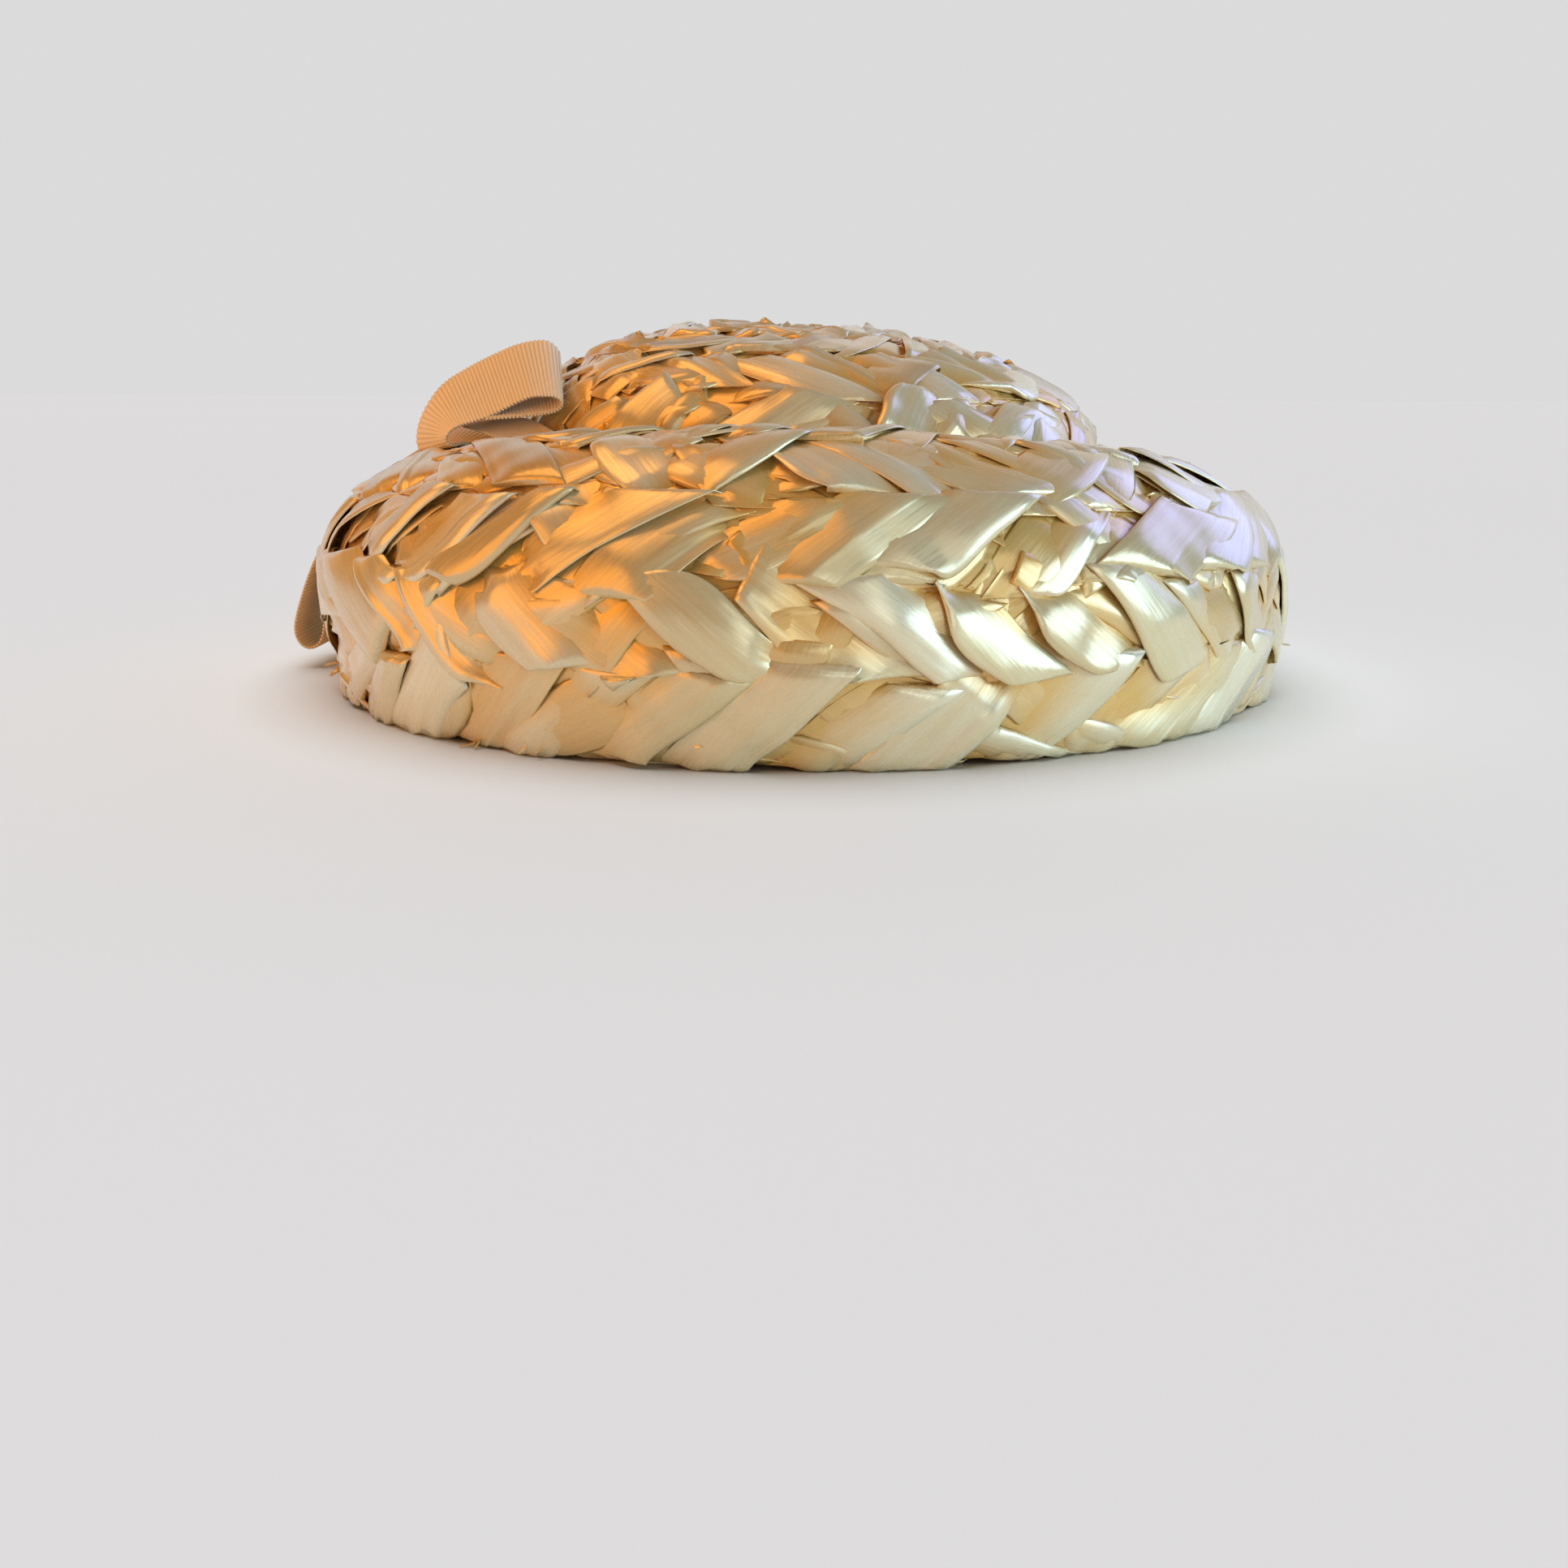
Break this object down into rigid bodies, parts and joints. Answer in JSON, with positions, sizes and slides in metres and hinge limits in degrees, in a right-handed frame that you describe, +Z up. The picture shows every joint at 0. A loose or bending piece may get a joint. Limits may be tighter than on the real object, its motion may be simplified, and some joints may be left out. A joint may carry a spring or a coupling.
{
  "type": "raffia hat",
  "caption": "Woman's plaited raffia hat with a shallow domed crown, a fat rolled mushroom brim and a grosgrain bow at the side.",
  "frame": {"origin": "on the floor under the hat, at the middle of its bounding box", "axes": "+Z up through the crown, -Y towards the wearer's front, -X towards the wearer's right, where the bow is"},
  "size_m": [0.3066, 0.302, 0.1052],
  "materials": {
    "raffia": "shiny ivory raffia strips with a satin sheen",
    "grosgrain": "matte ribbed grosgrain ribbon"
  },
  "bodies": {
    "root": {"crown": "raffia", "brim": "raffia", "crown_band": "grosgrain", "bow_inner_loop": "grosgrain", "bow_outer_loop": "grosgrain"}
  },
  "joints": []
}
